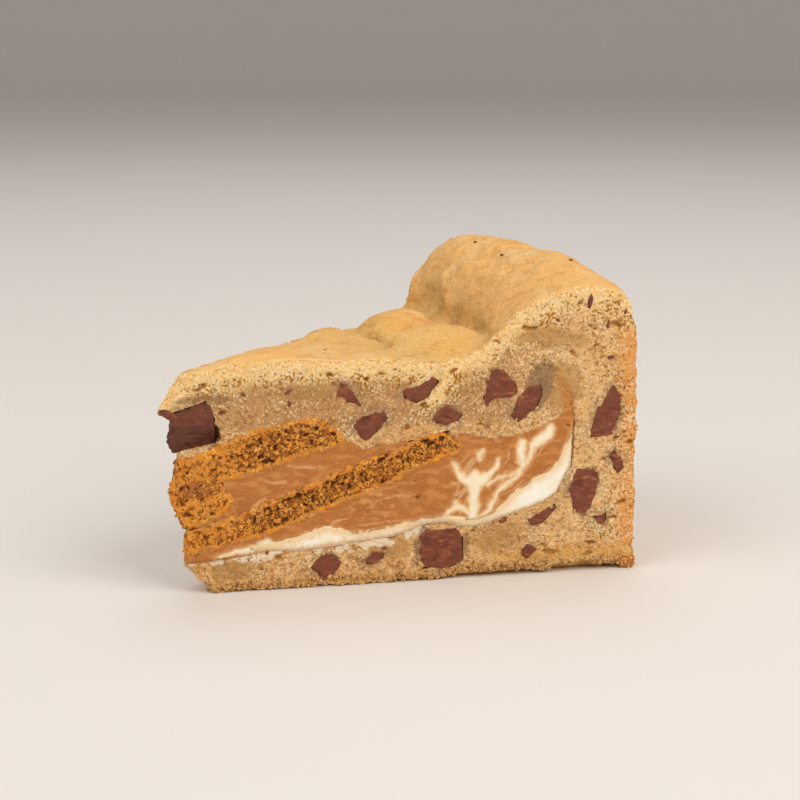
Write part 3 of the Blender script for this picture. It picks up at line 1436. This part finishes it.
@dataclass
class Chunk:
    """A broken chunk of milk chocolate.

    Attributes:
        node: The CAD node that it stands for.
        voxel: Size of its mesh's cells in millimetres.
        proud: How far its cut face stands out.
        swell: How far its sides grow into the dough.
        filling: How much further its outer side grows, into an open hollow.
        chips: How deep the chips in it are.
        shade_below: Height below which its face is broken back and dark.
        dimness: How dark the rest of it is, from 0 to 1.
    """
    node: str
    voxel: float = 0.25
    proud: float = 0.1
    swell: float = 0.3
    filling: float = 0.0
    chips: float = 0.4
    shade_below: float = -1.0
    dimness: float = 0.0

    def build(self) -> bpy.types.Object:
        """Makes the chunk with chipped edges and uneven faces, on even cells so that the edges can chip.

        Returns:
            The finished object.
        """
        mesh = evaluated(WEDGE.solid(self.node), "REMESH", mode="VOXEL", voxel_size=self.voxel)
        skin = Skin.of(mesh)
        points = skin.points
        facing = np.max([np.abs(skin.normals @ normal) for normal in CUT_NORMALS.values()], axis=0)
        rise = self.proud + (self.swell - self.proud) * ramp(facing, 0.95, 0.6)
        rise += self.filling * ramp(skin.normals[:, 0], 0.4, 0.8)
        rise += 0.2 * noise_at(points, 2.4, 43.0) + 0.12 * noise_at(points, 1.0, 47.0)
        rise -= self.chips * ramp(noise_at(points, 1.8, 53.0), 0.25, 0.6)
        drags = ramp(noise_at(points, 0.9, 59.0, (3.0, 1.0, 0.8)), 0.2, 0.5)
        scrape = drags * ramp(noise_at(points, 2.6, 57.0), 0.1, 0.4)
        worn_edge = 0.8 * ramp(facing, 0.97, 0.75) * ramp(noise_at(points, 1.5, 58.0), -0.15, 0.25)
        scrape = np.maximum(scrape, worn_edge)
        shade = ramp(skin.z + 0.8 * noise_at(points, 3.0, 56.0), self.shade_below + 0.5, self.shade_below - 0.5)
        shade = np.maximum(shade, self.dimness)
        return dressed(
            f"{self.node}_chocolate", mesh, points + skin.normals * rise[:, None],
            {"scrape": scrape * (1 - shade), "shade": shade}, MILK_CHOCOLATE, "chocolate", (self.node,))


@dataclass(frozen=True)
class Fleck:
    """A splinter of chocolate at the front cut face: place, length, width and lean in degrees."""
    r: float
    z: float
    length: float
    width: float
    lean: float


FLECKS = (
    Fleck(26.7, 41.4, 2.6, 0.9, 35), Fleck(26.9, 38.8, 2.4, 1.3, -70), Fleck(90.4, 57.9, 4.2, 1.2, 80),
    Fleck(94.4, 53.0, 2.1, 0.8, 75), Fleck(95.3, 46.1, 2.2, 1.3, 10), Fleck(72.2, 12.1, 2.3, 1.2, 30),
    Fleck(17.5, 41.2, 1.1, 0.8, -30), Fleck(12.9, 37.6, 0.8, 0.6, 0), Fleck(21.9, 8.0, 1.1, 0.8, 20),
    Fleck(46.5, 7.6, 1.3, 0.9, 10), Fleck(98.2, 55.5, 1.2, 0.8, 60), Fleck(83.5, 54.3, 1.0, 0.7, 20),
    Fleck(98.3, 39.5, 1.0, 0.5, 70), Fleck(64.5, 2.3, 1.0, 0.6, 0), Fleck(2.4, 37.6, 3.8, 2.0, -14),
)


def uneven_ball(
        bm: bmesh.types.BMesh, rng: random.Random, subdivisions: int, radius: float,
        uneven: tuple[float, float]) -> list[bmesh.types.BMVert]:
    """Adds a ball whose corners stand in and out.

    Args:
        bm: Where it is added, about the origin.
        rng: The random draws, one for each corner.
        subdivisions: How finely the ball is divided.
        radius: Its radius.
        uneven: Least and largest share of the radius at a corner.

    Returns:
        Its vertices.
    """
    made = bmesh.ops.create_icosphere(bm, subdivisions=subdivisions, radius=radius)["verts"]
    for vert in made:
        vert.co *= rng.uniform(*uneven)
    return made


@dataclass
class ChocolateFlecks:
    """Splinters of chocolate too small to be solids of the frame.

    Attributes:
        surface: Search tree of the dough, which finds the top.
        top_places: Splinters baked into the top, as r, share of the turn and size.
        back_count: How many lie at the back cut face.
        back_reach: Their least and largest distance from the axis.
        back_heights: Bands of height in which they lie, in the lid and in the base.
        thickness: How thick they are.
        seed: Start of the random draws.
    """
    surface: BVHTree
    top_places: tuple[tuple[float, float, float], ...] = (
        (91.0, 0.69, 0.8), (87.7, 0.51, 0.9), (84.2, 0.64, 0.7), (73.6, 0.63, 0.8), (93.9, 0.26, 0.9),
        (40.0, 0.5, 0.8), (96.0, 0.85, 0.9))
    back_count: int = 12
    back_reach: tuple[float, float] = (15, 98)
    back_heights: tuple[tuple[float, float], ...] = ((38, 45), (2, 7))
    thickness: float = 0.9
    seed: int = 5

    def build(self) -> bpy.types.Object:
        """Makes all the splinters as one piece.

        Returns:
            The finished object.
        """
        rng = random.Random(self.seed)
        bm = bmesh.new()
        for fleck in FLECKS:
            self._splinter(bm, rng, Vector((fleck.r, 0.1, fleck.z)), fleck, 0.0)
        for _ in range(self.back_count):
            r = rng.uniform(*self.back_reach)
            z = rng.choice([rng.uniform(*band) for band in self.back_heights])
            fleck = Fleck(r, z, rng.uniform(0.8, 2.4), rng.uniform(0.6, 1.1), rng.uniform(-90, 90))
            self._splinter(bm, rng, WEDGE.point(r, 1.0, z), fleck, SLICE_TURN)
        for r, share, size in self.top_places:
            above = WEDGE.point(r, share, 90.0)
            found = self.surface.ray_cast(above, Vector((0, 0, -1)))[0]
            fleck = Fleck(r, found.z, 1.5 * size, 0.6 * size, rng.uniform(-20, 20))
            self._splinter(bm, rng, found, fleck, SLICE_TURN * share)
        mesh = mesh_of(bm, "flecks")
        points = np.array([vert.co for vert in mesh.vertices])
        scrape = ramp(noise_at(points, 0.8, 63.0), 0.2, 0.5)
        return dressed("chocolate_flecks", mesh, points, {"scrape": scrape}, MILK_CHOCOLATE, "chocolate", ())

    def _splinter(self, bm: bmesh.types.BMesh, rng: random.Random, place: Vector, fleck: Fleck, turn: float) -> None:
        """Adds one splinter, flattened against its surface.

        Args:
            bm: Where it is added.
            rng: The random draws.
            place: Its middle.
            fleck: Its length, width and lean.
            turn: Turn of its surface about the pie's axis.
        """
        made = uneven_ball(bm, rng, 2, 1.0, (0.72, 1.08))
        bmesh.ops.scale(bm, verts=made, vec=(fleck.length / 2, self.thickness / 2, fleck.width / 2))
        lean = Matrix.Rotation(math.radians(-fleck.lean), 4, "Y")
        bmesh.ops.transform(bm, matrix=Matrix.Translation(place) @ Matrix.Rotation(turn, 4, "Z") @ lean, verts=made)


@dataclass
class Crumbs:
    """Loose grains that cling to the cut faces.

    Attributes:
        host: The piece that they cling to.
        name: The piece's name.
        slot: The record's material slot.
        finish: Their surface.
        count: How many there are.
        sizes: Least and largest size in millimetres.
        seed: Start of the random draws.
        depth: How far behind a cut face they still cling.
    """
    host: bpy.types.Object
    name: str
    slot: str
    finish: Finish
    count: int
    sizes: tuple[float, float]
    seed: int
    depth: float = 0.57

    def wanted(self, place: Vector) -> float:
        """How welcome a crumb is at a place in millimetres about the axis, from 0 to 1."""
        raise NotImplementedError

    def near_cut(self, place: Vector) -> bool:
        """Whether a place is near enough to a cut face."""
        return min(WEDGE.depths(place.x, place.y)) < self.depth

    def build(self) -> bpy.types.Object:
        """Scatters the grains as one piece.

        Returns:
            The finished object.
        """
        rng = random.Random(self.seed)
        bm = bmesh.new()
        verts = self.host.data.vertices
        placed = 0
        while placed < self.count:
            vert = verts[rng.randrange(len(verts))]
            place = vert.co / MM - PIE_AXIS
            if rng.random() > self.wanted(place):
                continue
            size = rng.uniform(*self.sizes)
            made = uneven_ball(bm, rng, 1, size / 2, (0.65, 1.25))
            bmesh.ops.translate(bm, verts=made, vec=place + vert.normal * size * 0.15)
            placed += 1
        mesh = mesh_of(bm, self.name)
        points = np.array([vert.co for vert in mesh.vertices])
        attributes = {
            "base_depth": points[:, 2],
            "wall_depth": TIN_RADIUS - np.hypot(*points[:, :2].T),
            # Deeper than the top's tints reach
            "top_depth": np.full(len(points), 9.0),
        }
        return dressed(self.name, mesh, points, attributes, self.finish, self.slot, ())


@dataclass
class DoughCrumbs(Crumbs):
    """Crumbs of dough, many along the foot and a few of them higher up.

    Attributes:
        foot: Least and largest height of the many.
        wall_foot: Their largest height near the wall.
        wall_from: Distance from the axis where near the wall begins.
        lid: Height above which there are none.
        few: How welcome the others are.
    """
    name: str = "dough_crumbs"
    slot: str = "dough"
    finish: Finish = BAKED_DOUGH
    count: int = 2000
    sizes: tuple[float, float] = (0.35, 1.0)
    seed: int = 3
    foot: tuple[float, float] = (0.4, 2.2)
    wall_foot: float = 3.2
    wall_from: float = 60.0
    lid: float = 36.0
    few: float = 0.025

    def wanted(self, place: Vector) -> float:
        """How welcome a crumb is.

        Args:
            place: A place in millimetres about the axis.

        Returns:
            A value from 0 to 1.
        """
        if place.z > self.lid or not self.near_cut(place):
            return 0.0
        highest = self.wall_foot if place.x > self.wall_from else self.foot[1]
        return 1.0 if self.foot[0] < place.z < highest else self.few


@dataclass
class BiscuitCrumbs(Crumbs):
    """Crumbs of biscuit all over a biscuit's cut faces and its broken end.

    Attributes:
        broken_to: Distance from the axis that the broken end reaches.
    """
    name: str = "biscuit_crumbs"
    slot: str = "biscuit"
    finish: Finish = CARAMEL_BISCUIT
    count: int = 260
    sizes: tuple[float, float] = (0.25, 0.6)
    seed: int = 4
    broken_to: float = 10.0

    def wanted(self, place: Vector) -> float:
        """How welcome a crumb is at a place, 0 or 1."""
        return float(self.near_cut(place) or Vector(place.xy).length < self.broken_to)


@dataclass(frozen=True)
class SoftLight:
    """A square soft light that points at the slice.

    Attributes:
        name: What it does.
        azimuth: Where it hangs, in degrees from the front; negative is to the left.
        elevation: How high it hangs, in degrees.
        distance: How far away it hangs, in metres.
        size: Its side in metres.
        power: Its power in watts.
        colour: Its colour, sRGB hex.
    """
    name: str
    azimuth: float
    elevation: float
    distance: float
    size: float
    power: float
    colour: str


@dataclass
class Studio:
    """The camera at the photograph's viewing angle, soft light and a pale floor.

    Attributes:
        target: What the camera looks at, in millimetres in the frame.
        azimuth: Turn of the view in degrees; negative is from the left.
        elevation: Height of the view in degrees.
        distance: How far away the camera is, in millimetres.
        lens: Focal length in millimetres.
        sensor: Width of the sensor in millimetres.
        lights: The soft lights.
        surround: Colour of the light from all round, sRGB hex.
        surround_strength: How strong it is.
        floor_radius: Radius of the flat floor in metres.
        bend: Radius of the bend from the floor to the wall in metres.
        wall_height: Height of the wall in metres.
    """
    target: tuple[float, float, float] = (-0.955, -35.8, 38.767)
    azimuth: float = -12.47
    elevation: float = 11.0
    distance: float = 411.0
    lens: float = 90.0
    sensor: float = 36.0
    lights: tuple[SoftLight, ...] = (
        SoftLight("key", 34.0, 40.0, 1.1, 0.8, 6.9, "#fff6ec"),
        SoftLight("fill", -62.0, 42.0, 1.3, 1.1, 7.0, "#fff9f4"),
        SoftLight("back", 160.0, 62.0, 1.2, 0.9, 3.5, "#ffffff"),
    )
    surround: str = "#f4f1ee"
    surround_strength: float = 0.42
    floor_radius: float = 2.6
    bend: float = 0.8
    wall_height: float = 2.2

    def build(self) -> None:
        """Sets up camera, lights, surrounding light and floor."""
        bpy.context.scene.view_settings.view_transform = "Standard"
        self._camera()
        for light in self.lights:
            self._light(light)
        self._world()
        self._floor()

    def _towards(self, azimuth: float, elevation: float) -> Vector:
        """Unit vector from the slice towards a direction in degrees."""
        turn, rise = math.radians(azimuth), math.radians(elevation)
        return Vector((math.sin(turn) * math.cos(rise), -math.cos(turn) * math.cos(rise), math.sin(rise)))

    def _camera(self) -> None:
        """Places the camera."""
        data = bpy.data.cameras.new("camera")
        data.lens = self.lens
        data.sensor_width = self.sensor
        data.clip_start = 0.01
        camera = linked("camera", data)
        back = self._towards(self.azimuth, self.elevation)
        camera.location = (Vector(self.target) + back * self.distance) * MM
        camera.rotation_euler = back.to_track_quat("Z", "Y").to_euler()
        bpy.context.scene.camera = camera

    def _light(self, light: SoftLight) -> None:
        """Hangs a light.

        Args:
            light: Which one.
        """
        data = bpy.data.lights.new(light.name, "AREA")
        data.shape = "SQUARE"
        data.size = light.size
        data.energy = light.power
        data.color = to_linear(light.colour)[:3]
        lamp = linked(light.name, data)
        back = self._towards(light.azimuth, light.elevation)
        lamp.location = back * light.distance
        lamp.rotation_euler = back.to_track_quat("Z", "Y").to_euler()

    def _world(self) -> None:
        """Even pale light from all round."""
        world = bpy.data.worlds.new("studio")
        world.use_nodes = True
        background = world.node_tree.nodes["Background"]
        background.inputs["Color"].default_value = to_linear(self.surround)
        background.inputs["Strength"].default_value = self.surround_strength
        bpy.context.scene.world = world

    def _floor(self, arc_steps: int = 10, round_steps: int = 48) -> None:
        """A round floor whose edge bends up into a wall, turned from one profile.

        Args:
            arc_steps: Into how many parts the bend is divided.
            round_steps: Into how many parts a full turn is divided.
        """
        bm = bmesh.new()
        arc = [
            Vector((self.floor_radius + self.bend * math.sin(a), 0, self.bend * (1 - math.cos(a))))
            for a in (math.pi / 2 * i / arc_steps for i in range(arc_steps + 1))]
        profile = [Vector((0, 0, 0)), *arc, Vector((arc[-1].x, 0, self.wall_height))]
        verts = [bm.verts.new(place) for place in profile]
        edges = [bm.edges.new(pair) for pair in zip(verts, verts[1:])]
        bmesh.ops.spin(
            bm, geom=[*verts, *edges], cent=(0, 0, 0), axis=(0, 0, 1), angle=2 * math.pi, steps=round_steps,
            use_merge=True, use_duplicate=False, dvec=(0, 0, 0))
        bmesh.ops.remove_doubles(bm, verts=bm.verts, dist=1e-5)
        bmesh.ops.recalc_face_normals(bm, faces=bm.faces)
        if next(iter(bm.faces)).normal.z < 0:
            bmesh.ops.reverse_faces(bm, faces=bm.faces)
        mesh = mesh_of(bm, "floor")
        mesh.shade_smooth()
        mesh.materials.append(PALE_PAPER.material())
        linked("floor", mesh)


def build_slice() -> None:
    """Dresses the whole slice."""
    dough = CookieDough().build()
    Spread("spread_below_biscuit", "spread_lower").build()
    Spread("spread_between_biscuits", "spread_upper").build()
    White().build()
    biscuits = [
        Biscuit(f"{node}_broken", node).build() for node in ("biscuit_upper", "biscuit_lower", "biscuit_tip")]
    for node in chunk_nodes():
        if node == "chunk_tip":
            Chunk(node, swell=0.5, filling=0.6, shade_below=35.0, dimness=0.5).build()
        else:
            Chunk(node).build()
    ChocolateFlecks(tree_of("cookie_dough")).build()
    DoughCrumbs(dough).build()
    BiscuitCrumbs(biscuits[1]).build()


def main() -> None:
    """Builds the studio and the slice, piece by piece."""
    logging.basicConfig(level=logging.INFO, format="%(name)s: %(message)s")
    Studio().build()
    build_slice()


if __name__ == "__main__":
    main()
